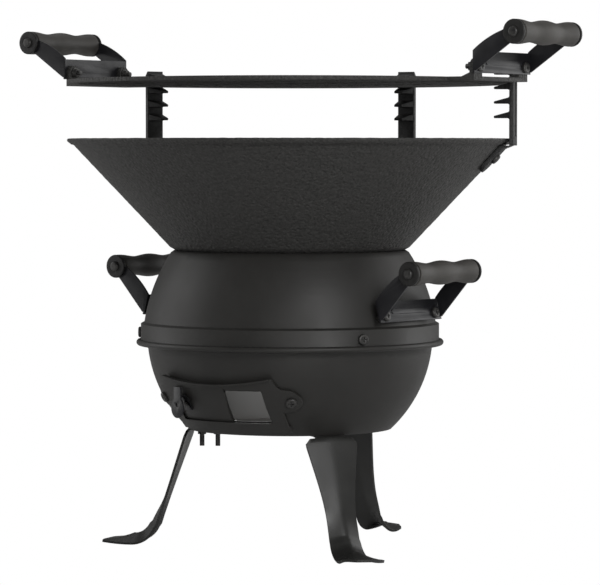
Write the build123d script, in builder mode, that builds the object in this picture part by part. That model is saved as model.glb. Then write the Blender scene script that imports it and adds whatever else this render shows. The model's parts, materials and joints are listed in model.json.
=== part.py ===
from build123d import *
from math import asin, cos, degrees, radians, sin, sqrt
import os

# A cast-iron fire bowl that stands loose in a round sheet-steel body on three legs, with a
# cooking grate held in the slots of three toothed supports. The origin is on the ground, on
# the body's axis. +Z is up, the air vent faces -Y, and the body's handles are at +X and -X.

# ---- Body: two spun halves, all radii outside ----
sheet = 1.6                 # wall of both halves
floor_z = 118.0             # underside of the floor above the ground
floor_r = 101.5             # flat part of the floor
lower_r = 142.0             # lower half at its widest
lower_h = 86.5              # floor to the seam
lower_curve = 131.5         # radius of the lower wall's arc
band_r = 149.0              # straight band where the halves overlap
band_h = 18.5
bead_r = 3.0                # rolled edge at the foot of the band
upper_r = 145.5             # upper half above the band
upper_h = 71.0              # band to the mouth
upper_curve = 180.0         # radius of the upper wall's arc
shoulder_r = 119.0          # where the upper wall turns in to the mouth
mouth_r = 112.0             # opening that the bowl stands in
slip = 0.15                 # gap between pieces that fit into each other

# ---- Fire bowl ----
bowl_turn = 4.0             # the loose bowl stands turned by this much on the body
bowl_wall = 4.6
bowl_foot_r = 119.5         # corner between the seat and the cone
bowl_floor_r = 100.0        # flat floor of the bowl
bowl_h = 118.0              # floor to rim
rim_r = 222.0
rim_band = 6.0              # height of the thick rim
rim_proud = 2.0             # how far the thick rim stands out of the cone
rim_w = 7.0                 # top of the rim, outside to inside
cone_inset = 6.2            # the cone ends this far inside the rim's radius
seat_slope = 27.0           # degrees, the seat's fall towards the middle
air_r = 66.0                # open middle of the bowl's floor
seat_gap = 0.35             # bowl to mouth, and every lift-out piece to what it rests on

# ---- Fire grate inside the bowl ----
fire_grate_r = 94.0
fire_grate_t = 6.0
fire_slot_w = 9.0
fire_slots = 7

# ---- Toothed supports, outside the bowl's rim ----
support_pitch = 72.0        # degrees between neighbours
support_w = 19.4
support_t = 4.2
support_gap = 2.4           # rim to bar
support_h = 71.0            # bar above the rim
flange_l = 34.0             # foot that lies along the cone
support_screw_down = 15.0   # screw below the rim, along the cone
rib_w = 3.0                 # edge ribs beside the bar's shallow recess
recess = 1.2
tooth_l = 16.4
tooth_tip_w = 9.0
tooth_tip_h = 2.4
tooth_root_h = 6.2
tooth_pitch = 14.2
teeth = 4
first_tooth = 21.0          # lowest tooth's tip above the rim
grate_slot = 3              # the grate lies on this tooth, counted from the bottom

# ---- Cooking grate ----
grate_r = rim_r
grate_turn = 2.0            # the loose grate lies turned by this much on the body
grate_t = 4.0
grate_rim_w = 11.0
bar_w = 5.0
bar_pitch = 15.6
ear_w = 98.0
ear_r = grate_r + 24.0      # outer edge of the ears
lug_w = 15.0
lug_t = 5.0
lug_bolt_h = 9.6            # bolts above the grate's top
gusset_l = 10.0

# ---- Handles: one pressed bracket and one waisted grip, used four times ----
bracket_w = 103.0
bracket_h = 20.5
bracket_t = 2.0
bolt_gap = 83.0             # between the two bolts
bolt_low = 6.5              # bolts above the plate's lower edge
arm_out = 46.5              # grip axis from the bolts, out and up
arm_up = 31.5
grip_r = 11.8
grip_neck_r = 9.7
cap_t = 3.0
arm_root = 14.8             # arm's top edge above the bolts, at the plate
arm_foot = 4.5              # arm's lower edge below the bolts
arm_end_r = 5.5
emboss = 0.8
rod_r = 3.0
body_bracket_z = floor_z + 117.5  # bolt height of the body's handles

# ---- Legs: pressed strip with a crease ----
leg_t = 2.6
leg_w = 38.0                # foot
leg_waist_w = 32.0          # narrowest, a third of the way up
leg_top_w = 54.0
leg_drop = 4.5              # the shoulders end this far below the body
leg_corner = 7.0
leg_waist_z = 40.0
ankle_curve = 26.0
leg_tab_w = 30.0
leg_tab_r = 64.0            # inner end of the tab
leg_crease = 3.6            # ridge along the strip, over its full width at the top
leg_r = 100.0               # where the strip turns down
leg_lean = 18.8             # degrees from upright
foot_r = 183.0              # tip of the toe
foot_rise = 2.5
toe_round = 14.0            # rounded corner of the toe
toe_slant = 4.0             # the rounded corner ends this far short of the pointed one
leg_bolt_r = (73.0, 89.0)

# ---- Air vent ----
vent_angle = 273.0
vent_low = floor_z + 13.5   # window, low and high edge
vent_high = floor_z + 47.0
vent_half = 24.5            # degrees each side of the middle
frame_t = 1.5
frame_low = floor_z + 4.0
frame_mid = floor_z + 51.5  # top edge at the middle
frame_high = floor_z + 58.0 # top edge at its ends
frame_half_w = 63.0
ear_angle = 34.5            # degrees from the vent's middle to each screw
vent_screw_z = floor_z + 36.5
vent_ear_r = 10.5
lip_l = 6.5
slider_t = 1.2
slider_room = 2.2           # between wall and frame
slider_play = 0.5
slider_lap = 2.5            # slider behind the window's edges
slider_open = 5.5           # degrees, the slider's leading edge from the vent's middle
tab_angle = -18.0
tab_low = floor_z + 16.5
tab_out = 9.0               # tab's strip off the wall
tab_t = 1.6
tab_neck_w = 11.0
tab_paddle_w = 19.0
tab_paddle_h = 20.0
tab_hole_r = 2.0
tab_rivet_drop = 6.0        # rivet below the tab's web
rivet_r = 1.6

# ---- Fasteners ----
m5_r = 2.4
head_r = 5.4
head_h = 3.0
nut_r = 4.6
nut_h = 4.4
nut_flange_r = 5.4
nut_flange_t = 1.2

# ---- Heights and angles that follow from these ----
seam_z = floor_z + lower_h
band_top = seam_z + band_h
mouth_z = band_top + 2.0 + upper_h
seat_r = mouth_r + 2.0
tan_seat = sin(radians(seat_slope)) / cos(radians(seat_slope))
bowl_foot_z = mouth_z + seat_gap + (bowl_foot_r - seat_r) * tan_seat
bowl_floor_z = bowl_foot_z - (bowl_foot_r - bowl_floor_r) * tan_seat
rim_z = bowl_floor_z + bowl_h
cone_top_r = rim_r - cone_inset
cone_length = sqrt((cone_top_r - bowl_foot_r) ** 2 + (rim_z - rim_band - bowl_foot_z) ** 2)
cone_out = (cone_top_r - bowl_foot_r) / cone_length
cone_up = (rim_z - rim_band - bowl_foot_z) / cone_length
support_angles = [90 + bowl_turn + k * support_pitch for k in (-1, 0, 1)]
bar_in_r = rim_r + support_gap
tooth_zs = [rim_z + first_tooth + k * tooth_pitch for k in range(teeth)]
tooth_rise = (tooth_root_h - tooth_tip_h) / tooth_l
grate_z = (tooth_zs[grate_slot - 1] + tooth_tip_h / 2 + seat_gap
           + tooth_rise * (grate_r - (bar_in_r - tooth_l)))


def ray(angle):
    """Unit vector in plan at this many degrees from +X."""
    return Vector(cos(radians(angle)), sin(radians(angle)), 0)


def section_plane(angle):
    """Upright plane through the axis: x runs outward and y runs up."""
    return Plane((0, 0, 0), x_dir=ray(angle), z_dir=ray(angle - 90))


def facing_plane(angle, r, z, lean=0.0):
    """Plane that looks outward and leans back by some degrees: y runs up."""
    normal = ray(angle) * cos(radians(lean)) + Vector(0, 0, sin(radians(lean)))
    return Plane(ray(angle) * r + Vector(0, 0, z), x_dir=ray(angle + 90), z_dir=normal)


def arc_centre(start, end, radius):
    """Centre of the arc that bulges outward from start up to end."""
    dr, dz = end[0] - start[0], end[1] - start[1]
    chord = sqrt(dr * dr + dz * dz)
    depth = sqrt(radius * radius - chord * chord / 4)
    return ((start[0] + end[0]) / 2 - depth * dz / chord, (start[1] + end[1]) / 2 + depth * dr / chord)


def arc_r(centre, radius, z):
    """Outside radius of an arc's wall at height z."""
    return centre[0] + sqrt(radius * radius - (z - centre[1]) ** 2)


def arc_lean(centre, radius, z):
    """How far the wall leans back at height z, in degrees."""
    return degrees(asin((z - centre[1]) / radius))


def cone_point(down, off):
    """Point on the bowl's cone: a distance down from the rim, and off its surface."""
    r = cone_top_r - down * cone_out + off * cone_up
    return (r, rim_z - rim_band - down * cone_up - off * cone_out)


lower_start = (floor_r, floor_z)
lower_end = (lower_r, seam_z - 4.5)
upper_start = (upper_r, band_top + 2.0)
upper_end = (shoulder_r, mouth_z - 2.0)
lower_centre = arc_centre(lower_start, lower_end, lower_curve)
upper_centre = arc_centre(upper_start, upper_end, upper_curve)
spigot_r = band_r - sheet - slip


def finish(piece, name):
    """Label a finished piece and write its file."""
    piece.part.label = name
    export_step(piece.part, f"parts/{name}.step")


os.makedirs("parts", exist_ok=True)

# ---------------------------------------------------------------- fasteners, made once each


def pan_screw(length):
    """Pan-head screw with a cross recess: z = 0 under the head, shank along -Z."""
    with BuildPart() as screw:
        with BuildSketch():
            Circle(head_r)
        extrude(amount=head_h)
        fillet(screw.edges().group_by(Axis.Z)[-1], radius=head_h * 0.6)
        with BuildSketch():
            Circle(m5_r)
        extrude(amount=-length)
        with BuildSketch(Plane.XY.offset(head_h)):
            Rectangle(head_r, head_r / 5)
            Rectangle(head_r / 5, head_r)
        extrude(amount=-head_h * 0.55, mode=Mode.SUBTRACT)
    return screw.part


def pan_rivet(shank, head, length):
    """Round-headed rivet: z = 0 under the head, shank along -Z."""
    with BuildPart() as rivet:
        with BuildSketch():
            Circle(head)
        extrude(amount=head / 2)
        fillet(rivet.edges().group_by(Axis.Z)[-1], radius=head * 0.45)
        with BuildSketch():
            Circle(shank)
        extrude(amount=-length)
    return rivet.part


def flange_nut():
    """Flanged hexagon nut: z = 0 on its seat, body along -Z, bored for the shank."""
    with BuildPart() as nut:
        with BuildSketch():
            Circle(nut_flange_r)
        extrude(amount=-nut_flange_t)
        with BuildSketch():
            RegularPolygon(nut_r, 6)
        extrude(amount=-nut_h)
        with BuildSketch():
            Circle(m5_r + 0.02)
        extrude(amount=-nut_h, mode=Mode.SUBTRACT)
    return nut.part


def placed(piece, planes):
    """Copies of one fastener, one for each plane."""
    with BuildPart() as group:
        with Locations(*planes):
            add(piece)
    return group


nut = flange_nut()

# ---------------------------------------------------------------- body, lower and upper half

vent_plane = facing_plane(vent_angle, 0, 0)
hole_r = arc_r(lower_centre, lower_curve, (vent_low + vent_high) / 2)
hole_from = hole_r * sin(radians(slider_open))
hole_to = hole_r * sin(radians(vent_half - 1.0))
band_screw_z = (seam_z + band_top) / 2
band_screw_angles = (-25.0, 95.0, 215.0)
leg_angles = {"leg_back": 90.0, "leg_left": 210.0, "leg_right": 330.0}
vent_screw_r = arc_r(lower_centre, lower_curve, vent_screw_z)
vent_screw_lean = arc_lean(lower_centre, lower_curve, vent_screw_z)
vent_screw_angles = (vent_angle - ear_angle, vent_angle + ear_angle)

lower_inside = lower_curve - sheet
with BuildPart() as lower_body:
    with BuildSketch(Plane.XZ):
        with BuildLine():
            pan = Line((0, floor_z), lower_start)
            wall = RadiusArc(pan @ 1, lower_end, -lower_curve)
            edge = Polyline(wall @ 1, (spigot_r, seam_z + bead_r), (spigot_r, band_top - sheet),
                            (spigot_r - sheet, band_top - sheet),
                            (spigot_r - sheet, seam_z + bead_r + sheet / 2),
                            (arc_r(lower_centre, lower_inside, lower_end[1] + sheet / 2),
                             lower_end[1] + sheet / 2))
            inner = RadiusArc((arc_r(lower_centre, lower_inside, floor_z + sheet), floor_z + sheet),
                              edge @ 1, -lower_inside)
            Polyline(inner @ 0, (0, floor_z + sheet), (0, floor_z))
        make_face()
    revolve(axis=Axis.Z)
    with BuildSketch(vent_plane):
        with Locations(((hole_from + hole_to) / 2, (vent_low + vent_high) / 2)):
            RectangleRounded(hole_to - hole_from, vent_high - vent_low - 3, 2)
    extrude(amount=2 * lower_r, mode=Mode.SUBTRACT)
    with Locations(*[facing_plane(a, vent_screw_r, vent_screw_z,
                                  vent_screw_lean) for a in vent_screw_angles]):
        Hole(m5_r + slip, depth=3 * sheet)
    with Locations(*[facing_plane(a, spigot_r, band_screw_z) for a in band_screw_angles]):
        Hole(m5_r + slip, depth=3 * sheet)
    for angle in leg_angles.values():
        with Locations(*[ray(angle) * r + Vector(0, 0, floor_z + sheet) for r in leg_bolt_r]):
            Hole(m5_r + slip, depth=3 * sheet)
finish(lower_body, "lower_body")

bracket_lean = arc_lean(upper_centre, upper_curve, body_bracket_z + 5)
bracket_r = arc_r(upper_centre, upper_curve, body_bracket_z) + 1.5
body_bolt_planes = [
    Plane(facing_plane(a, bracket_r, body_bracket_z,
                       bracket_lean).from_local_coords((s * bolt_gap / 2, 0, 0)),
          x_dir=ray(a + 90), z_dir=facing_plane(a, 0, 0, bracket_lean).z_dir)
    for a in (0.0, 180.0) for s in (-1, 1)]
body_bolt_l = 16.0

upper_inside = upper_curve - sheet
with BuildPart() as upper_body:
    with BuildSketch(Plane.XZ):
        with BuildLine():
            band = Polyline((band_r, seam_z), (band_r, band_top), upper_start)
            wall = RadiusArc(band @ 1, upper_end, -upper_curve)
            inner_top = (arc_r(upper_centre, upper_inside, mouth_z - 2 - sheet), mouth_z - 2 - sheet)
            lip = Polyline(wall @ 1, (shoulder_r - 3, mouth_z), (mouth_r + 1.5, mouth_z - 0.8),
                           (mouth_r, mouth_z - 4.5), (mouth_r + sheet, mouth_z - 4.5),
                           (mouth_r + 1.5 + sheet, mouth_z - 0.8 - sheet),
                           (shoulder_r - 3 - sheet / 2, mouth_z - sheet),
                           inner_top)
            inner_start = (arc_r(upper_centre, upper_inside, upper_start[1] - sheet / 2),
                           upper_start[1] - sheet / 2)
            inner = RadiusArc(inner_start, lip @ 1, -upper_inside)
            Polyline(inner @ 0, (band_r - sheet, band_top - sheet / 2), (band_r - sheet, seam_z),
                     (band_r, seam_z))
        make_face()
        with Locations((band_r + bead_r / 2, seam_z)):
            Circle(bead_r)
    revolve(axis=Axis.Z)
    with Locations(*[facing_plane(a, band_r, band_screw_z) for a in band_screw_angles]):
        Hole(m5_r + slip, depth=3 * sheet)
    with Locations(*body_bolt_planes):
        Hole(m5_r + slip, depth=body_bolt_l)
finish(upper_body, "upper_body")

band_planes = [facing_plane(a, band_r, band_screw_z) for a in band_screw_angles]
band_screws = placed(pan_screw(12.0), band_planes)
finish(band_screws, "band_screws")
band_nuts = placed(nut,
                   [facing_plane(a, spigot_r - sheet - slip, band_screw_z) for a in band_screw_angles])
finish(band_nuts, "band_nuts")

# ---------------------------------------------------------------- legs

lean_out = sin(radians(leg_lean)) / cos(radians(leg_lean))
tread = 0.5                         # how much of the strip's edges is ground flat
spine_z = leg_crease * (leg_w / leg_top_w - 0.5) - tread
shank_top = (leg_r, floor_z)
heel = (leg_r + (floor_z - spine_z) * lean_out, spine_z)
flat_end = (heel[0] + ankle_curve * cos(radians(leg_lean)) + 3.0, spine_z)
toe = (foot_r, spine_z + foot_rise)
shoulder_z = floor_z - leg_drop


def make_leg(angle):
    """One pressed leg: bolted tab, creased strip that widens to its shoulders, and foot."""
    side = section_plane(angle)
    with BuildLine(side) as spine:
        FilletPolyline(shank_top, heel, flat_end, toe, radius=(ankle_curve, ankle_curve))
    down = ray(angle) * sin(radians(leg_lean)) - Vector(0, 0, cos(radians(leg_lean)))
    start = Plane(side.from_local_coords(Vector(*shank_top)), x_dir=ray(angle + 90), z_dir=down)
    half = leg_top_w / 2
    with BuildPart() as leg:
        with BuildSketch(start):
            with BuildLine():
                Polyline((-half, -leg_crease / 2), (0, leg_crease / 2), (half, -leg_crease / 2))
                offset(amount=leg_t, side=Side.LEFT)
            make_face()
        sweep(path=spine.wires()[0])
        with BuildSketch(facing_plane(angle, 0, 0)):
            with BuildLine():
                foot_side = Spline((leg_w / 2, 0), (leg_waist_w / 2, leg_waist_z),
                                   tangents=[(-0.3, 1), (0, 1)])
                flank = Spline(foot_side @ 1, (half, shoulder_z - leg_corner),
                               tangents=[(0, 1), (0.4, 1)])
                corner = TangentArc(flank @ 1, (half - leg_corner, shoulder_z), tangent=(0.3, 1))
                Polyline(corner @ 1, (leg_tab_w / 2, shoulder_z), (leg_tab_w / 2, floor_z),
                                (0, floor_z))
                mirror(about=Plane.YZ)
                Line((-leg_w / 2, 0), (leg_w / 2, 0))
            make_face()
        extrude(amount=2 * foot_r, mode=Mode.INTERSECT)
        with BuildSketch(Plane((0, 0, 0), x_dir=ray(angle), z_dir=(0, 0, 1))):
            with BuildLine():
                blunt = Polyline((0, -leg_top_w), (foot_r - toe_round, -leg_top_w),
                                 (foot_r - toe_round, -leg_w / 2))
                curve = ThreePointArc(blunt @ 1, (foot_r - 0.45 * toe_round, toe_round / 4 - leg_w / 2),
                                      (foot_r - toe_slant, toe_round - leg_w / 2))
                Polyline(curve @ 1, (foot_r, leg_w / 2), (foot_r, leg_top_w), (0, leg_top_w),
                         (0, -leg_top_w))
            make_face()
        extrude(amount=floor_z, mode=Mode.INTERSECT)
        with BuildSketch(Plane(ray(angle) * (leg_tab_r + leg_r) / 2 + Vector(0, 0, floor_z - slip / 3),
                               x_dir=ray(angle), z_dir=(0, 0, 1))):
            with Locations((leg_t / 2, 0)):
                RectangleRounded(leg_r - leg_tab_r + leg_t, leg_tab_w, 4)
        extrude(amount=-leg_t)
        with Locations(*[ray(angle) * r + Vector(0, 0, floor_z) for r in leg_bolt_r]):
            Hole(m5_r + slip, depth=3 * leg_t)
    return leg


for name, angle in leg_angles.items():
    finish(make_leg(angle), name)

leg_spots = [ray(a) * r for a in leg_angles.values() for r in leg_bolt_r]
leg_bolts = placed(pan_screw(20.5), [Plane(p + Vector(0, 0, floor_z + sheet + 0.02)) for p in leg_spots])
finish(leg_bolts, "leg_bolts")
leg_nuts = placed(nut, [Plane(p + Vector(0, 0, floor_z - leg_t - 0.1)) for p in leg_spots])
finish(leg_nuts, "leg_nuts")

# ---------------------------------------------------------------- air vent


def wall_layer(plane, gap, thickness, low, high):
    """Section of a layer that follows the lower wall, a gap outside it."""
    with BuildSketch(plane) as layer:
        with Locations(lower_centre):
            Circle(lower_curve + gap + thickness)
            Circle(lower_curve + gap, mode=Mode.SUBTRACT)
        with Locations((lower_r, (low + high) / 2)):
            Rectangle(lower_r, high - low, mode=Mode.INTERSECT)
    return layer.sketch


slider_low = vent_low - slider_lap
slider_high = vent_high + slider_lap
ear_x = vent_screw_r * sin(radians(ear_angle))
vent_screw_planes = [facing_plane(a, vent_screw_r, vent_screw_z,
                                  vent_screw_lean).offset(slider_room + frame_t)
                     for a in vent_screw_angles]
rail_h = 4.0
window_half = hole_r * sin(radians(vent_half))

with BuildPart() as frame_lip:
    revolve(wall_layer(Plane.XZ, slider_room, lip_l, frame_low, frame_high + frame_t), axis=Axis.Z)
    with BuildSketch(vent_plane):
        with BuildLine():
            lip_arc = ThreePointArc((-frame_half_w, frame_high), (0, frame_mid),
                                    (frame_half_w, frame_high))
            Polyline(lip_arc @ 1, (frame_half_w, frame_high - frame_t))
            ThreePointArc((frame_half_w, frame_high - frame_t), (0, frame_mid - frame_t),
                          (-frame_half_w, frame_high - frame_t))
            Polyline((-frame_half_w, frame_high - frame_t), lip_arc @ 0)
        make_face()
    extrude(amount=2 * lower_r, mode=Mode.INTERSECT)

with BuildPart() as vent_frame:
    revolve(wall_layer(Plane.XZ, slider_room, frame_t, frame_low, frame_high), axis=Axis.Z)
    for low in (slider_low - slider_play - rail_h, slider_high + slider_play):
        revolve(wall_layer(Plane.XZ, 0.05, slider_room, low, low + rail_h), axis=Axis.Z)
    with BuildSketch(vent_plane):
        with BuildLine():
            top = ThreePointArc((-frame_half_w, frame_high), (0, frame_mid), (frame_half_w, frame_high))
            shoulder = Spline(top @ 1, (ear_x, vent_screw_z + vent_ear_r), tangents=[(0.3, -1), (1, 0)])
            ear = ThreePointArc(shoulder @ 1, (ear_x + vent_ear_r, vent_screw_z),
                                (ear_x, vent_screw_z - vent_ear_r))
            foot = Polyline(ear @ 1, (frame_half_w + 2, vent_screw_z - vent_ear_r - 2),
                            (frame_half_w, frame_low),
                            (-frame_half_w, frame_low),
                            (-frame_half_w - 2, vent_screw_z - vent_ear_r - 2),
                            (-ear_x, vent_screw_z - vent_ear_r))
            far_ear = ThreePointArc(foot @ 1, (-ear_x - vent_ear_r, vent_screw_z),
                                    (-ear_x, vent_screw_z + vent_ear_r))
            Spline(far_ear @ 1, top @ 0, tangents=[(1, 0), (0.3, 1)])
        make_face()
    extrude(amount=2 * lower_r, mode=Mode.INTERSECT)
    add(frame_lip)
    with BuildSketch(vent_plane):
        with Locations((0, (vent_low + vent_high) / 2)):
            RectangleRounded(2 * window_half, vent_high - vent_low, 2)
    extrude(amount=2 * lower_r, mode=Mode.SUBTRACT)
    with Locations(*vent_screw_planes):
        Hole(m5_r + slip, depth=3 * frame_t)
finish(vent_frame, "vent_frame")
vent_frame_screws = placed(pan_screw(13.0), vent_screw_planes)
finish(vent_frame_screws, "vent_frame_screws")
vent_frame_nuts = placed(nut,
                         [p.offset(-slider_room - frame_t - sheet - slip) for p in vent_screw_planes])
finish(vent_frame_nuts, "vent_frame_nuts")

slider_from = vent_angle - vent_half - 2.0
slider_gap = (slider_room - slider_t) / 2
tab_top = vent_high
tab_foot_z = tab_top - 9.0
tab_face = slider_gap + slider_t
tab_r = arc_r(lower_centre, lower_curve, tab_foot_z) + tab_out
rivet_z = tab_foot_z - tab_rivet_drop
rivet_lean = arc_lean(lower_centre, lower_curve, rivet_z)
web_l = tab_out + tab_t - (tab_face + slip + tab_t / 2) / cos(radians(rivet_lean))
rivet_plane = facing_plane(vent_angle + tab_angle, arc_r(lower_centre, lower_curve, rivet_z), rivet_z,
                           rivet_lean).offset(tab_face + tab_t + slip)
with BuildPart() as vent_slider:
    revolve(wall_layer(section_plane(slider_from), slider_gap, slider_t, slider_low, slider_high),
            axis=Axis.Z, revolution_arc=vent_half + 2.0 + slider_open)
    with Locations(rivet_plane):
        Hole(rivet_r + 0.02, depth=3 * tab_t)
finish(vent_slider, "vent_slider")

with BuildPart() as vent_tab:
    # Foot flat on the slider, web outward, and the strip that a poker pushes.
    with BuildSketch(section_plane(vent_angle + tab_angle)):
        with Locations((tab_r + tab_t / 2, (tab_top + tab_foot_z) / 2)):
            Rectangle(tab_t, tab_top - tab_foot_z)
        with Locations((tab_r + tab_t - web_l / 2, tab_foot_z)):
            Rectangle(web_l, tab_t)
    extrude(amount=tab_neck_w / 2, both=True)
    with BuildSketch(facing_plane(vent_angle + tab_angle, tab_r, 0)):
        with Locations((0, tab_low + tab_paddle_h / 2)):
            SlotOverall(tab_paddle_h, tab_paddle_w, rotation=90)
        with Locations((0, (tab_top + tab_low + tab_paddle_h / 2) / 2)):
            Rectangle(tab_neck_w, tab_top - tab_low - tab_paddle_h / 2)
        with Locations((0, tab_low + 0.65 * tab_paddle_h)):
            Circle(tab_hole_r, mode=Mode.SUBTRACT)
    extrude(amount=tab_t)
    with BuildSketch(rivet_plane.offset(-tab_t)):
        Rectangle(tab_neck_w, 2 * tab_rivet_drop + 2 * tab_t)
    extrude(amount=tab_t)
    with Locations(rivet_plane):
        Hole(rivet_r + 0.02, depth=3 * tab_t)
finish(vent_tab, "vent_tab")

vent_tab_rivet = placed(pan_rivet(rivet_r, 2.0 * rivet_r, tab_t + slider_t + slider_gap / 3),
                        [rivet_plane])
finish(vent_tab_rivet, "vent_tab_rivet")

# ---------------------------------------------------------------- handles


def pressed_bracket():
    """Bracket in its own frame: x along the grip, y up, z out, bolts on the x axis."""
    grip = Vector(arm_out, arm_up)
    with BuildPart() as bracket:
        with BuildSketch():
            with Locations((0, bracket_h / 2 - bolt_low)):
                Rectangle(bracket_w, bracket_h)
        extrude(amount=bracket_t)
        with BuildSketch(Plane.XY.offset(bracket_t)):
            with Locations((0, bracket_h / 2 - bolt_low)):
                SlotOverall(bolt_gap - 4 * head_r, bracket_h / 4)
        extrude(amount=emboss)
        for inner, outer in ((bracket_w / 2 - bracket_t, bracket_w / 2), (bracket_t - bracket_w / 2,
                                                                          -bracket_w / 2)):
            with BuildSketch(Plane((inner, 0, 0), x_dir=(0, 0, 1), z_dir=(-1, 0, 0))):
                with BuildLine():
                    toe_line = Polyline((0, arm_root), (0, 3 - arm_foot), (3, -arm_foot),
                                        grip + Vector(0.53, -0.85) * arm_end_r)
                    end = ThreePointArc(toe_line @ 1, grip + Vector(arm_end_r, 0),
                                        grip + Vector(0, arm_end_r))
                    ThreePointArc(end @ 1,
                                  (arm_out * 0.36, arm_root + (arm_up + arm_end_r - arm_root) * 0.52),
                                  (0, arm_root))
                make_face()
                with Locations(grip):
                    Circle(rod_r + slip, mode=Mode.SUBTRACT)
            extrude(amount=inner - outer)
        with Locations(*[Plane((s * bolt_gap / 2, 0, bracket_t)) for s in (-1, 1)]):
            Hole(m5_r + slip, depth=2 * bracket_t)
    return bracket.part


def waisted_grip():
    """Turned grip that fills the space between the arms, with a swell between two waists."""
    half = bracket_w / 2 - bracket_t - slip
    with BuildPart() as grip:
        with BuildSketch(Plane.XY):
            with BuildLine():
                Spline((0, grip_r), (0.48 * half, grip_neck_r), (0.82 * half, grip_r - 0.4),
                                 (half, grip_r),
                                 tangents=[(1, 0), (1, 0)])
                Polyline((half, grip_r), (half, rod_r + slip), (0, rod_r + slip), (0, grip_r))
            make_face()
        revolve(axis=Axis.X)
        mirror(about=Plane.YZ)
    return grip.part


def grip_caps():
    """The two end discs, outside the arms."""
    with BuildPart() as caps:
        for side in (-1, 1):
            with BuildSketch(Plane((side * (bracket_w / 2 + slip), 0, 0), x_dir=(0, 1, 0),
                                   z_dir=(side, 0, 0))):
                Circle(grip_r)
                Circle(rod_r + slip, mode=Mode.SUBTRACT)
            extrude(amount=cap_t)
        fillet(caps.edges().filter_by(GeomType.CIRCLE).filter_by(lambda e: e.radius > grip_r - 0.1)
               .filter_by(lambda e: abs(e.center().X) > bracket_w / 2 + cap_t / 2), radius=cap_t * 0.4)
    return caps.part


def grip_rod():
    """Rod through caps, arms and grip, with a dome at each end."""
    half = bracket_w / 2 + slip + cap_t
    with BuildPart() as rod:
        with Locations(*[Plane((s * half, 0, 0), x_dir=(0, 1, 0), z_dir=(s, 0, 0)) for s in (-1, 1)]):
            add(pan_rivet(rod_r, 1.7 * rod_r, half))
    return rod.part


def grip_plane(bolts):
    """Plane at a bracket's grip axis, from the plane of its bolts."""
    return Plane(bolts.from_local_coords((0, arm_up, arm_out)), x_dir=bolts.x_dir, z_dir=bolts.z_dir)


bracket = pressed_bracket()
grip = waisted_grip()
caps = grip_caps()
rod = grip_rod()
lug_bolt_z = grate_z + grate_t + lug_bolt_h
sides = {"right": 0.0, "left": 180.0}
body_planes = {n: facing_plane(a, bracket_r, body_bracket_z, bracket_lean) for n, a in sides.items()}
grate_planes = {n: facing_plane(a + grate_turn, ear_r + slip / 3, lug_bolt_z) for n, a in sides.items()}

for owner, planes in (("body", body_planes), ("grate", grate_planes)):
    for side, plane in planes.items():
        finish(placed(bracket, [plane]), f"{owner}_bracket_{side}")
        finish(placed(grip, [grip_plane(plane)]), f"{owner}_grip_{side}")
    finish(placed(caps, [grip_plane(p) for p in planes.values()]), f"{owner}_grip_caps")
    finish(placed(rod, [grip_plane(p) for p in planes.values()]), f"{owner}_grip_rods")

wall_gap_r = sqrt((bracket_r - 1.5) ** 2 - (bolt_gap / 2) ** 2)
body_nut_drop = bracket_r - wall_gap_r + 2 * sheet + 1.0
finish(placed(pan_screw(body_nut_drop + nut_h + 2.5), [p.offset(bracket_t) for p in body_bolt_planes]),
       "body_bracket_screws")
finish(placed(nut, [p.offset(-body_nut_drop) for p in body_bolt_planes]), "body_bracket_nuts")
grate_bolt_planes = [Plane(p.from_local_coords((s * bolt_gap / 2, 0, 0)), x_dir=p.x_dir, z_dir=p.z_dir)
                     for p in grate_planes.values() for s in (-1, 1)]
finish(placed(pan_screw(bracket_t + lug_t + nut_h + 3.5),
              [p.offset(bracket_t) for p in grate_bolt_planes]),
       "grate_bracket_screws")
finish(placed(nut, [p.offset(-lug_t - slip) for p in grate_bolt_planes]), "grate_bracket_nuts")

# ---------------------------------------------------------------- fire bowl and its grate


def cone_plane(angle, down, off):
    """Plane on the bowl's cone that looks outward and down."""
    r, z = cone_point(down, off)
    normal = ray(angle) * cone_up - Vector(0, 0, cone_out)
    return Plane(ray(angle) * r + Vector(0, 0, z), x_dir=ray(angle + 90), z_dir=normal)


with BuildPart() as fire_bowl:
    with BuildSketch(Plane.XZ):
        with BuildLine():
            Polyline((air_r, bowl_floor_z), (bowl_floor_r, bowl_floor_z), (bowl_foot_r, bowl_foot_z),
                     cone_point(0, 0))
            offset(amount=bowl_wall, side=Side.LEFT)
        make_face()
        with BuildLine():
            Polyline((cone_top_r - 3, rim_z - rim_band), (cone_top_r + rim_proud, rim_z - rim_band),
                     (rim_r, rim_z - 1.5), (rim_r - 1.5, rim_z), (rim_r - rim_w, rim_z), close=True)
        make_face()
    revolve(axis=Axis.Z)
    with Locations(*[cone_plane(a, support_screw_down, 0) for a in support_angles]):
        Hole(m5_r + slip, depth=3 * bowl_wall)
finish(fire_bowl, "fire_bowl")

fire_grate_z = bowl_floor_z + bowl_wall + seat_gap
with BuildPart() as fire_grate:
    with BuildSketch(Plane.XY.offset(fire_grate_z)):
        Circle(fire_grate_r)
        pitch = 2 * (air_r - 2) / fire_slots
        for k in range(fire_slots):
            y = (k - (fire_slots - 1) / 2) * pitch
            with Locations((0, y)):
                SlotOverall(2 * sqrt((air_r - 2) ** 2 - y * y) - fire_slot_w / 2, fire_slot_w,
                            mode=Mode.SUBTRACT)
    extrude(amount=fire_grate_t)
finish(fire_grate, "fire_grate")

# ---------------------------------------------------------------- toothed supports

bar_out_r = bar_in_r + support_t
tip_r = bar_in_r - tooth_l
bar_foot_z = rim_z - rim_band - 1.0
bar_top_z = rim_z + support_h


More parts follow.
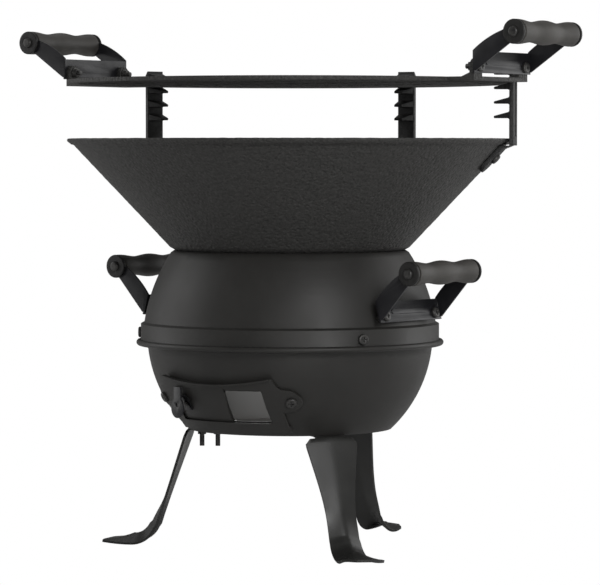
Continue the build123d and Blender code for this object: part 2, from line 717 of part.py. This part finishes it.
def make_support(angle):
    """One toothed bar with a foot that lies along the bowl's cone."""
    side = section_plane(angle)
    with BuildPart() as support:
        with BuildSketch(side):
            with BuildLine():
                Polyline((bar_out_r, bar_foot_z), (bar_out_r, bar_top_z - support_t),
                         (bar_in_r + 1, bar_top_z),
                         (bar_in_r, bar_top_z), (bar_in_r, bar_foot_z), close=True)
            make_face()
            for z in tooth_zs:
                with BuildLine():
                    low = z - tooth_tip_h / 2
                    Polyline((bar_in_r + 1, low - 1), (bar_in_r, low - 1), (bar_in_r - 2, low),
                             (tip_r + 0.6, low),
                             (tip_r, low + 0.7), (tip_r, low + tooth_tip_h - 0.7),
                             (tip_r + 0.6, low + tooth_tip_h),
                             (bar_in_r - 1, low + tooth_tip_h + tooth_rise * (tooth_l - 1)),
                             (bar_in_r, low + tooth_root_h + 1), (bar_in_r + 1, low + tooth_root_h + 1),
                             close=True)
                make_face()
        extrude(amount=support_w / 2, both=True)
        with BuildSketch(Plane((0, 0, rim_z + 2), x_dir=ray(angle), z_dir=(0, 0, 1))):
            for edge in (-1, 1):
                with BuildLine():
                    Polyline((tip_r - 1, edge * tooth_tip_w / 2), (tip_r, edge * tooth_tip_w / 2),
                             (bar_in_r, edge * (support_w / 2 - 0.4)), (bar_in_r, edge * support_w),
                             (tip_r - 1, edge * support_w), close=True)
                make_face()
        extrude(amount=2 * support_h, mode=Mode.SUBTRACT)
        with BuildSketch(side):
            with BuildLine():
                Polyline(cone_point(2, support_t), (bar_out_r, bar_foot_z + 1),
                         (bar_out_r, bar_foot_z + 3),
                         (bar_in_r, bar_foot_z + 3), (bar_in_r, bar_foot_z), cone_point(1.5, slip),
                         close=True)
            make_face()
        extrude(amount=support_w / 2, both=True)
        with BuildSketch(cone_plane(angle, 0, slip)):
            with Locations((0, -(flange_l - support_w / 2))):
                Circle(support_w / 2)
            with Locations((0, -(flange_l - support_w / 2 + 1.5) / 2)):
                Rectangle(support_w, flange_l - support_w / 2 - 1.5)
        extrude(amount=support_t - slip)
        with BuildSketch(facing_plane(angle, bar_out_r, 0)):
            with Locations((0, (bar_foot_z + bar_top_z) / 2)):
                Rectangle(support_w - 2 * rib_w, bar_top_z - bar_foot_z - 6 * rib_w)
        extrude(amount=-recess, mode=Mode.SUBTRACT)
        with Locations(cone_plane(angle, support_screw_down, support_t)):
            Hole(m5_r + slip, depth=2 * support_t)
    return support


for name, angle in zip(("support_right", "support_back", "support_left"), support_angles):
    finish(make_support(angle), name)
support_planes = [cone_plane(a, support_screw_down, support_t) for a in support_angles]
finish(placed(pan_screw(support_t + bowl_wall + nut_h + 3.0), support_planes), "support_screws")
finish(placed(nut, [p.offset(-support_t - bowl_wall - slip) for p in support_planes]), "support_nuts")

# ---------------------------------------------------------------- cooking grate

inner_r = grate_r - grate_rim_w
bars = int(inner_r / bar_pitch)
with BuildPart() as cooking_grate:
    with BuildSketch(Plane((0, 0, grate_z), x_dir=ray(grate_turn), z_dir=(0, 0, 1))):
        Circle(grate_r)
        Circle(inner_r, mode=Mode.SUBTRACT)
        for k in range(-bars, bars + 1):
            with Locations((k * bar_pitch, 0)):
                Rectangle(bar_w, 2 * sqrt((inner_r + 2) ** 2 - (k * bar_pitch) ** 2))
        for y in (-inner_r / 2, 0, inner_r / 2):
            with Locations((0, y)):
                Rectangle(2 * sqrt((inner_r + 2) ** 2 - y * y), bar_w)
        for side in (-1, 1):
            with Locations((side * (ear_r + inner_r) / 2, 0)):
                Rectangle(ear_r - inner_r, ear_w)
    extrude(amount=grate_t)
    for plane in grate_bolt_planes:
        with BuildSketch(plane.offset(-slip / 3)):
            with Locations((0, -lug_bolt_h / 2)):
                Rectangle(lug_w, lug_bolt_h + 1)
            Circle(lug_w / 2)
        extrude(amount=-lug_t)
        with BuildSketch(Plane(plane.origin, x_dir=plane.z_dir, z_dir=-plane.x_dir)):
            with BuildLine():
                Polyline((-lug_t, -lug_bolt_h - 0.5), (-lug_t, -nut_flange_r - 0.5),
                         (-lug_t - gusset_l, -lug_bolt_h - 0.5), close=True)
            make_face()
        extrude(amount=lug_w / 2, both=True)
    with Locations(*[p.offset(-slip / 3) for p in grate_bolt_planes]):
        Hole(m5_r + slip, depth=2 * lug_t)
finish(cooking_grate, "cooking_grate")
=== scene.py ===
import bpy
import bmesh
import json
from math import cos, pi, radians, sin, sqrt
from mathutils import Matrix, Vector, noise

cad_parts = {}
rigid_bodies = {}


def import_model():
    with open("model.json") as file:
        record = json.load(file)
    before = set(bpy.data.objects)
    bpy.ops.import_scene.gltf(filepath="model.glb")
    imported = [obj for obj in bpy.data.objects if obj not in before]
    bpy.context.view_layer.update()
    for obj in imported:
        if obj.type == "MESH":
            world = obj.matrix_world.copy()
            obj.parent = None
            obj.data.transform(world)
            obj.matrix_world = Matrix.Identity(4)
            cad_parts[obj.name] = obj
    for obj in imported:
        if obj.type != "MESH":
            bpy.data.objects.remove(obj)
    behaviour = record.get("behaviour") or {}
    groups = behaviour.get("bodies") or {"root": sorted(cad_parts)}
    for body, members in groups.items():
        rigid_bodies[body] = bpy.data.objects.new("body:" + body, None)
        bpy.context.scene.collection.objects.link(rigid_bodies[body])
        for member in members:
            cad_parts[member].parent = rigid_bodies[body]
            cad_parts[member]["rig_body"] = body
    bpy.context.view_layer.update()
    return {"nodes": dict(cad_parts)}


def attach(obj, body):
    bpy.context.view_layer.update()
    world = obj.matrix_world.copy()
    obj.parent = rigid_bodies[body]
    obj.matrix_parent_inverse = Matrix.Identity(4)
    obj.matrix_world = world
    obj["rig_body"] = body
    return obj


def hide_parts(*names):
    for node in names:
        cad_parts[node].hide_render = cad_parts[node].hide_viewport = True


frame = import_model()
bpy.context.scene.view_settings.view_transform = "Standard"

# ------------------------------------------------------------------ floor, light and camera
# A pale floor in a white studio that looks plain white but lights the piece mostly from its
# sides, behind and one lamp. The camera stands low and far off, so the rims are seen edge on.

floor_bm = bmesh.new()
bmesh.ops.create_grid(floor_bm, x_segments=1, y_segments=1, size=12.0)
floor_mesh = bpy.data.meshes.new("floor")
floor_bm.to_mesh(floor_mesh)
floor_bm.free()
floor = bpy.data.objects.new("floor", floor_mesh)
bpy.context.scene.collection.objects.link(floor)
floor.location.z = -0.0005
floor_look = bpy.data.materials.new("pale_floor")
floor_look.use_nodes = True
floor_tree = floor_look.node_tree
floor_shader = floor_tree.nodes["Principled BSDF"]
floor_shader.inputs["Base Color"].default_value = (0.8, 0.8, 0.8, 1)
floor_shader.inputs["Roughness"].default_value = 0.9
floor_seen = floor_tree.nodes.new("ShaderNodeLightPath")
floor_white = floor_tree.nodes.new("ShaderNodeEmission")
floor_mix = floor_tree.nodes.new("ShaderNodeMixShader")
floor_tree.links.new(floor_seen.outputs["Is Camera Ray"], floor_mix.inputs["Fac"])
floor_tree.links.new(floor_shader.outputs["BSDF"], floor_mix.inputs[1])
floor_tree.links.new(floor_white.outputs["Emission"], floor_mix.inputs[2])
floor_tree.links.new(floor_mix.outputs["Shader"], floor_tree.nodes["Material Output"].inputs["Surface"])
floor_mesh.materials.append(floor_look)

world = bpy.data.worlds.new("studio")
world.use_nodes = True
world_tree = world.node_tree
world_dim = world_tree.nodes["Background"]
world_dim.inputs["Color"].default_value = (1, 0.99, 0.97, 1)
world_dim.inputs["Strength"].default_value = 0.2
world_white = world_tree.nodes.new("ShaderNodeBackground")
world_white.inputs["Color"].default_value = (1, 1, 1, 1)
world_seen = world_tree.nodes.new("ShaderNodeLightPath")
world_mix = world_tree.nodes.new("ShaderNodeMixShader")
world_tree.links.new(world_seen.outputs["Is Camera Ray"], world_mix.inputs["Fac"])
world_tree.links.new(world_dim.outputs["Background"], world_mix.inputs[1])
world_tree.links.new(world_white.outputs["Background"], world_mix.inputs[2])
world_tree.links.new(world_mix.outputs["Shader"], world_tree.nodes["World Output"].inputs["Surface"])
bpy.context.scene.world = world

view_turn = radians(37.0)
to_camera = Vector((sin(view_turn), -cos(view_turn), 0))
camera_right = Vector((cos(view_turn), sin(view_turn), 0))
camera_reach = 3.33
camera_height = 0.394
aim = camera_right * 0.010 + Vector((0, 0, 0.2535))
lamp_aim = Vector((0, 0, 0.3))


def softbox(name, right, out, height, size, power):
    """A square lamp placed as seen from the camera: to its right, towards it, and up."""
    lamp = bpy.data.lights.new(name, "AREA")
    lamp.size = size
    lamp.energy = power
    holder = bpy.data.objects.new(name, lamp)
    holder.location = camera_right * right + to_camera * out + Vector((0, 0, height))
    holder.rotation_euler = (lamp_aim - holder.location).to_track_quat("-Z", "Y").to_euler()
    bpy.context.scene.collection.objects.link(holder)


softbox("key_lamp", 0.85, 1.8, 1.0, 0.75, 18)
softbox("low_lamp", 0.2, 2.4, 0.12, 0.9, 7)
softbox("left_panel", -2.2, -0.5, 0.9, 1.8, 17)
softbox("right_panel", 2.2, -0.8, 0.7, 1.8, 20)
softbox("top_panel", 0.0, -0.8, 2.4, 1.4, 8)

# A weak lamp inside the body stands in for the light that falls in by the vent.
inner_lamp = bpy.data.lights.new("inner_lamp", "AREA")
inner_lamp.size = 0.08
inner_lamp.energy = 0.5
inner_holder = bpy.data.objects.new("inner_lamp", inner_lamp)
inner_holder.location = (0.0, 0.0, 0.25)
bpy.context.scene.collection.objects.link(inner_holder)

lens = bpy.data.cameras.new("camera")
lens.sensor_width = 36
lens.lens = 200
camera = bpy.data.objects.new("camera", lens)
camera.location = to_camera * camera_reach + Vector((0, 0, camera_height))
camera.rotation_euler = (aim - camera.location).to_track_quat("-Z", "Y").to_euler()
bpy.context.scene.collection.objects.link(camera)
bpy.context.scene.camera = camera

# ------------------------------------------------------------------ body, lower half
# Spun from steel sheet into a deep round pan with a flat floor, and sprayed with matt black
# heat-proof paint. Its straight spigot is screwed inside the band of the upper half.


def new_look(name, colour, roughness, metallic=0.0, specular=0.5):
    """A material with its shader, ready for its patterns."""
    look = bpy.data.materials.new(name)
    look.use_nodes = True
    shader = look.node_tree.nodes["Principled BSDF"]
    shader.inputs["Base Color"].default_value = (*colour, 1)
    shader.inputs["Roughness"].default_value = roughness
    shader.inputs["Metallic"].default_value = metallic
    shader.inputs["Specular IOR Level"].default_value = specular
    return look, shader


def grain(look, scale, detail=4.0, stretch=(1, 1, 1), rough=0.5):
    """Noise over the piece's own space, finer with a larger scale, drawn out by stretch."""
    tree = look.node_tree
    place = tree.nodes.new("ShaderNodeTexCoord")
    turn = tree.nodes.new("ShaderNodeMapping")
    turn.inputs["Scale"].default_value = stretch
    pattern = tree.nodes.new("ShaderNodeTexNoise")
    pattern.inputs["Scale"].default_value = scale
    pattern.inputs["Detail"].default_value = detail
    pattern.inputs["Roughness"].default_value = rough
    tree.links.new(place.outputs["Object"], turn.inputs["Vector"])
    tree.links.new(turn.outputs["Vector"], pattern.inputs["Vector"])
    return pattern.outputs["Fac"]


def spread(look, value, low, high, to_low, to_high):
    """Maps a pattern's values from one range to another."""
    node = look.node_tree.nodes.new("ShaderNodeMapRange")
    node.inputs["From Min"].default_value = low
    node.inputs["From Max"].default_value = high
    node.inputs["To Min"].default_value = to_low
    node.inputs["To Max"].default_value = to_high
    look.node_tree.links.new(value, node.inputs["Value"])
    return node.outputs["Result"]


def tint(look, shader, value, dark, light):
    """Colours the surface from dark to light along a pattern."""
    ramp = look.node_tree.nodes.new("ShaderNodeValToRGB")
    ramp.color_ramp.elements[0].position = 0.3
    ramp.color_ramp.elements[0].color = (*dark, 1)
    ramp.color_ramp.elements[1].position = 0.7
    ramp.color_ramp.elements[1].color = (*light, 1)
    look.node_tree.links.new(value, ramp.inputs["Fac"])
    look.node_tree.links.new(ramp.outputs["Color"], shader.inputs["Base Color"])


def relief(look, shader, *layers):
    """Bump from (pattern, depth in metres) layers, one on top of the other."""
    tree = look.node_tree
    under = None
    for value, depth in layers:
        bump = tree.nodes.new("ShaderNodeBump")
        bump.inputs["Strength"].default_value = 1.0
        bump.inputs["Distance"].default_value = depth
        tree.links.new(value, bump.inputs["Height"])
        if under:
            tree.links.new(under, bump.inputs["Normal"])
        under = bump.outputs["Normal"]
    tree.links.new(under, shader.inputs["Normal"])


def heat_paint():
    """Matt black spray paint: a fine dry grain, faint runs, and the spinning lathe's rings."""
    look, shader = new_look("heat_paint", (0.02, 0.0193, 0.018), 0.5, specular=0.4)
    mottle = grain(look, 22.0, 3.0)
    spray = grain(look, 1500.0, 2.0)
    rings = grain(look, 260.0, 2.0, stretch=(0.004, 0.004, 1))
    tint(look, shader, mottle, (0.016, 0.0154, 0.0143), (0.022, 0.0212, 0.0196))
    look.node_tree.links.new(spread(look, mottle, 0.3, 0.7, 0.46, 0.56), shader.inputs["Roughness"])
    relief(look, shader, (rings, 0.00006), (spray, 0.00004))
    return look


body_paint = heat_paint()


def finished(name, bm, corner=0.0, segments=2, sharp=32.0):
    """Turns a bmesh into an object: corners rounded, normals outward, smooth but for real edges."""
    bmesh.ops.recalc_face_normals(bm, faces=bm.faces)
    if corner:
        hard = [e for e in bm.edges if len(e.link_faces) == 2 and e.calc_face_angle() > radians(sharp)]
        bmesh.ops.bevel(bm, geom=hard, offset=corner, segments=segments, profile=0.5, affect="EDGES",
                        clamp_overlap=True, material=-1)
    for face in bm.faces:
        face.smooth = True
    mesh = bpy.data.meshes.new(name)
    bm.to_mesh(mesh)
    bm.free()
    mesh.set_sharp_from_angle(angle=radians(40))
    piece = bpy.data.objects.new(name, mesh)
    bpy.context.scene.collection.objects.link(piece)
    return piece


def dressed(node, look, corner=0.0004, segments=2):
    """A copy of a CAD piece with its triangles merged, its edges rounded, and its finish on."""
    bm = bmesh.new()
    bm.from_mesh(frame["nodes"][node].data)
    bmesh.ops.remove_doubles(bm, verts=bm.verts, dist=2e-6)
    bmesh.ops.dissolve_limit(bm, angle_limit=radians(0.6), verts=bm.verts, edges=bm.edges)
    piece = finished(node + "_made", bm, corner, segments)
    piece.data.materials.append(look)
    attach(piece, frame["nodes"][node]["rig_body"])
    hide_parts(node)


dressed("lower_body", body_paint, 0.0003)

# ------------------------------------------------------------------ body, upper half
# The same sheet and paint. Its lower edge is rolled to a bead, a straight band takes three
# screws, and the wall closes in a round shoulder to the mouth that the bowl stands in.

dressed("upper_body", body_paint, 0.0003)

# ------------------------------------------------------------------ band screws and nuts
# Blackened M5 pan-head screws with cross recesses, through the band, with flanged nuts inside.


def blackened_steel():
    """Oiled black steel: worn a little brighter in patches, with a fine brushed grain."""
    look, shader = new_look("blackened_steel", (0.05, 0.05, 0.05), 0.4, metallic=0.6)
    wear = grain(look, 190.0, 4.0)
    tint(look, shader, wear, (0.03, 0.03, 0.03), (0.075, 0.073, 0.07))
    look.node_tree.links.new(spread(look, wear, 0.3, 0.7, 0.34, 0.5), shader.inputs["Roughness"])
    relief(look, shader, (grain(look, 900.0), 0.00003))
    return look


fastener_look = blackened_steel()
for node in ("band_screws", "band_nuts"):
    dressed(node, fastener_look, 0.00025)

# ------------------------------------------------------------------ legs, their bolts and nuts
# Each leg is one strip of steel pressed with a ridge down its middle, bent out to a foot, and
# bolted through a tab to the body's floor. Satin black paint lies smoother here than on the body.


def leg_enamel():
    """Satin black enamel with soft orange peel."""
    look, shader = new_look("leg_enamel", (0.018, 0.018, 0.017), 0.38, specular=0.4)
    mottle = grain(look, 35.0, 2.0)
    tint(look, shader, mottle, (0.015, 0.015, 0.0142), (0.02, 0.02, 0.0188))
    look.node_tree.links.new(spread(look, mottle, 0.3, 0.7, 0.34, 0.44), shader.inputs["Roughness"])
    relief(look, shader, (grain(look, 240.0, 2.0), 0.00002))
    return look


leg_look = leg_enamel()


def eased(x, low, high):
    """0 below low, 1 above high, and a smooth step between."""
    t = min(max((x - low) / (high - low), 0.0), 1.0)
    return t * t * (3 - 2 * t)


def leg_stations():
    """Rows along one leg: (out, up, half width, ridge, flat share of the ridge, share of slant)."""
    rows = []
    # The tab, flat against the body's floor.
    for k in range(7):
        rows.append((0.065 + 0.005 * k, 0.1166, 0.0125 if k == 0 else 0.015, 0.0, 0.0, 0.0))
    rows += [(0.0990, 0.1159, 0.015, 0.0004, 0.0, 0.0), (0.1003, 0.1140, 0.015, 0.0012, 0.0, 0.0)]
    # The leaning blade, broad at its rounded shoulders.
    lean = radians(18.8)
    top = 0.1137
    for k in range(29):
        up = top - (top - 0.0190) * k / 28
        wide = 0.0150 + 0.0165 * eased(up, 0.034, 0.150)
        corner = min((top - up) / 0.006, 1.0)
        wide -= 0.0055 * (1 - sqrt(max(1 - (1 - corner) ** 2, 0.0)))
        ridge = 0.0018 + 0.0052 * eased(-up, -0.05, -0.012)
        rows.append((0.1001 + (top - up) * sin(lean) / cos(lean), up, wide, ridge, 0.0, 0.0))
    # The bend at the ankle.
    bend_out, bend_up, bend_radius = 0.1582, 0.0273, 0.026
    for k in range(1, 11):
        share = k / 10
        turn = lean + (pi / 2 - lean) * share
        rows.append((bend_out - bend_radius * cos(turn), bend_up - bend_radius * sin(turn),
                     0.0152 + 0.0016 * share, 0.0070 + 0.0006 * share, 0.30 * share, 0.0))
    # The foot, whose ridge runs out towards a slanting toe.
    for k in range(1, 11):
        share = k / 10
        rows.append((bend_out + 0.0242 * share, 0.0013 + 0.0025 * share * share,
                     0.0168 + 0.0008 * share, 0.0070 * (1 - share) ** 1.3 + 0.0006,
                     0.30 + 0.6 * share, share))
    return rows


def pressed_leg(name, angle):
    """The strip as a grid of rows and columns, given its thickness, in place round the body."""
    bm = bmesh.new()
    columns = 14
    thickness = 0.0026
    rows = leg_stations()
    outward = Vector((cos(radians(angle)), sin(radians(angle)), 0))
    across = Vector((-outward.y, outward.x, 0))
    grid = []
    for i, (out, up, wide, ridge, flat, slant) in enumerate(rows):
        before, after = rows[max(i - 1, 0)], rows[min(i + 1, len(rows) - 1)]
        along = Vector((after[0] - before[0], after[1] - before[1])).normalized()
        lift = outward * -along.y + Vector((0, 0, along.x))
        line = []
        for j in range(columns + 1):
            u = 2 * j / columns - 1
            rise = min((1 - sqrt(u * u + 0.012)) / (1 - flat), 1.0)
            reach = out + slant * (0.0055 * u - 0.0077 * eased(-u, 0.35, 1.0))
            line.append(bm.verts.new(outward * reach + Vector((0, 0, up)) + across * (u * wide)
                                     + lift * (ridge * rise)))
        grid.append(line)
    for i in range(len(grid) - 1):
        for j in range(columns):
            bm.faces.new((grid[i][j], grid[i][j + 1], grid[i + 1][j + 1], grid[i + 1][j]))
    bmesh.ops.recalc_face_normals(bm, faces=bm.faces)
    bmesh.ops.solidify(bm, geom=bm.faces[:], thickness=thickness)
    leg = finished(name + "_made", bm, 0.0003, 1, 70.0)
    # The foot's underside is brought to the ground, fading out up the ankle.
    lowest = min(v.co.z for v in leg.data.vertices)
    for vert in leg.data.vertices:
        vert.co.z -= lowest * eased(-vert.co.z, -0.03, -0.01)
    leg.data.materials.append(leg_look)
    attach(leg, frame["nodes"][name]["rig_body"])
    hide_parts(name)


pressed_leg("leg_back", 90.0)
pressed_leg("leg_left", 210.0)
pressed_leg("leg_right", 330.0)
for node in ("leg_bolts", "leg_nuts"):
    dressed(node, fastener_look, 0.00025)

# ------------------------------------------------------------------ air vent
# A pressed frame is screwed over the lower wall by two ears. A curved door slides behind its
# window on a bent tab, and opens or covers the hole in the wall.

dressed("vent_frame", body_paint, 0.0005, 3)
dressed("vent_slider", body_paint, 0.0003)


def bracket_enamel():
    """Satin black enamel on pressed steel, a little colder and darker than the body."""
    look, shader = new_look("bracket_enamel", (0.012, 0.012, 0.014), 0.42, specular=0.3)
    mottle = grain(look, 60.0, 3.0)
    tint(look, shader, mottle, (0.010, 0.010, 0.012), (0.016, 0.016, 0.018))
    look.node_tree.links.new(spread(look, mottle, 0.3, 0.7, 0.3, 0.44), shader.inputs["Roughness"])
    relief(look, shader, (grain(look, 300.0, 2.0), 0.00006), (grain(look, 1500.0), 0.00002))
    return look


bracket_look = bracket_enamel()
dressed("vent_tab", bracket_look, 0.0003)
for node in ("vent_tab_rivet", "vent_frame_screws", "vent_frame_nuts"):
    dressed(node, fastener_look, 0.0002)

# ------------------------------------------------------------------ handles
# The four handles are the same: a pressed bracket, a turned wooden grip between its arms, a
# disc outside each arm, and a rod through all of them with a dome on each end.


def painted_wood():
    """Turned wood under thin grey-black paint: grain along the grip, rubbed lighter in places."""
    look, shader = new_look("painted_wood", (0.09, 0.085, 0.078), 0.6)
    fibre = grain(look, 620.0, 5.0, stretch=(1, 0.05, 1), rough=0.6)
    rubbed = grain(look, 48.0, 3.0)
    tree = look.node_tree
    both = tree.nodes.new("ShaderNodeMath")
    both.operation = "MULTIPLY_ADD"
    both.inputs[1].default_value = 0.45
    tree.links.new(fibre, both.inputs[0])
    tree.links.new(spread(look, rubbed, 0.2, 0.8, 0.1, 0.45), both.inputs[2])
    tint(look, shader, both.outputs["Value"], (0.030, 0.0285, 0.026), (0.062, 0.058, 0.0525))
    tree.links.new(spread(look, fibre, 0.2, 0.8, 0.5, 0.68), shader.inputs["Roughness"])
    relief(look, shader, (fibre, 0.00012), (grain(look, 1300.0), 0.00003))
    return look


def cap_black():
    """Dull black end discs."""
    look, shader = new_look("cap_black", (0.012, 0.0117, 0.011), 0.5, specular=0.35)
    mottle = grain(look, 150.0, 3.0)
    tint(look, shader, mottle, (0.009, 0.0088, 0.0084), (0.016, 0.0155, 0.0148))
    relief(look, shader, (grain(look, 700.0), 0.00005))
    return look


grip_look = painted_wood()
cap_look = cap_black()
for owner in ("body", "grate"):
    for side in ("left", "right"):
        dressed(owner + "_bracket_" + side, bracket_look, 0.0005, 3)
        dressed(owner + "_grip_" + side, grip_look, 0.0006, 3)
    dressed(owner + "_grip_caps", cap_look, 0.0003)
    for node in ("_grip_rods", "_bracket_screws", "_bracket_nuts"):
        dressed(owner + node, fastener_look, 0.00025)

# ------------------------------------------------------------------ fire bowl
# Sand-cast iron, thick walled and rough all over, with a heavier rim. It stands loose in the
# body's mouth.


def cast_iron(name, dark, light, lump, pit):
    """Blackened cast iron: sand texture in lumps and pits, greyer on the high spots."""
    look, shader = new_look(name, dark, 0.62)
    broad = grain(look, 55.0, 6.0, rough=0.6)
    sand = grain(look, 420.0, 6.0, rough=0.62)
    tree = look.node_tree
    place = tree.nodes.new("ShaderNodeTexCoord")
    cells = tree.nodes.new("ShaderNodeTexVoronoi")
    cells.inputs["Scale"].default_value = 260.0
    tree.links.new(place.outputs["Object"], cells.inputs["Vector"])
    pits = spread(look, cells.outputs["Distance"], 0.0, 0.6, 0.0, 1.0)
    tint(look, shader, sand, dark, light)
    tree.links.new(spread(look, sand, 0.3, 0.7, 0.72, 0.5), shader.inputs["Roughness"])
    relief(look, shader, (broad, lump), (pits, pit), (sand, pit))
    return look


iron_look = cast_iron("bowl_iron", (0.013, 0.0128, 0.012), (0.034, 0.033, 0.031), 0.0010, 0.0006)


def turned(name, outline, steps):
    """Solid of revolution about Z from a closed outline of (radius, height) points."""
    bm = bmesh.new()
    ring = [bm.verts.new((r, 0, z)) for r, z in outline]
    edges = [bm.edges.new((ring[i], ring[(i + 1) % len(ring)])) for i in range(len(ring))]
    bmesh.ops.spin(bm, geom=ring + edges, cent=(0, 0, 0), axis=(0, 0, 1), angle=2 * pi, steps=steps,
                   use_merge=True)
    bmesh.ops.remove_doubles(bm, verts=bm.verts, dist=1e-6)
    return finished(name, bm)


def stepped(points, step):
    """The same closed outline with points no further apart than step."""
    fine = []
    for k, start in enumerate(points):
        end = points[(k + 1) % len(points)]
        count = max(1, round(sqrt((end[0] - start[0]) ** 2 + (end[1] - start[1]) ** 2) / step))
        for m in range(count):
            fine.append(tuple(a + (b - a) * m / count for a, b in zip(start, end)))
    return fine


def cast_skin(piece, depth, size):
    """Pushes the surface in and out in lumps of about this size, as sand casting leaves it."""
    normals = [v.normal.copy() for v in piece.data.vertices]
    for vert, normal in zip(piece.data.vertices, normals):
        lump = noise.fractal(vert.co / size, 1.0, 2.0, 3, noise_basis="PERLIN_ORIGINAL")
        vert.co += normal * (depth * lump)


bowl_outline = [(0.0660, 0.2892), (0.1000, 0.2892), (0.1195, 0.2992), (0.2156, 0.4010), (0.2178, 0.4013),
                (0.2214, 0.4042), (0.2220, 0.4055), (0.2216, 0.4068), (0.2205, 0.4072), (0.2150, 0.4072),
                (0.2138, 0.4068), (0.2125, 0.4044), (0.1168, 0.3029), (0.0989, 0.2938), (0.0660, 0.2938)]
fire_bowl = turned("fire_bowl_made", stepped(bowl_outline, 0.0038), 380)
cast_skin(fire_bowl, 0.00034, 0.0055)
fire_bowl.data.materials.append(iron_look)
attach(fire_bowl, frame["nodes"]["fire_bowl"]["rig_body"])
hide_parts("fire_bowl")
for node in ("fire_grate", "cooking_grate"):
    dressed(node, iron_look, 0.0006, 2)

# ------------------------------------------------------------------ toothed supports
# Three cast bars with a comb of teeth each, screwed to the outside of the bowl's rim. The
# cooking grate's edge lies in one of their slots.

support_look = cast_iron("support_iron", (0.009, 0.009, 0.009), (0.02, 0.02, 0.02), 0.0003, 0.00015)
for node in ("support_left", "support_back", "support_right"):
    dressed(node, support_look, 0.0004, 2)
for node in ("support_screws", "support_nuts"):
    dressed(node, fastener_look, 0.00025)
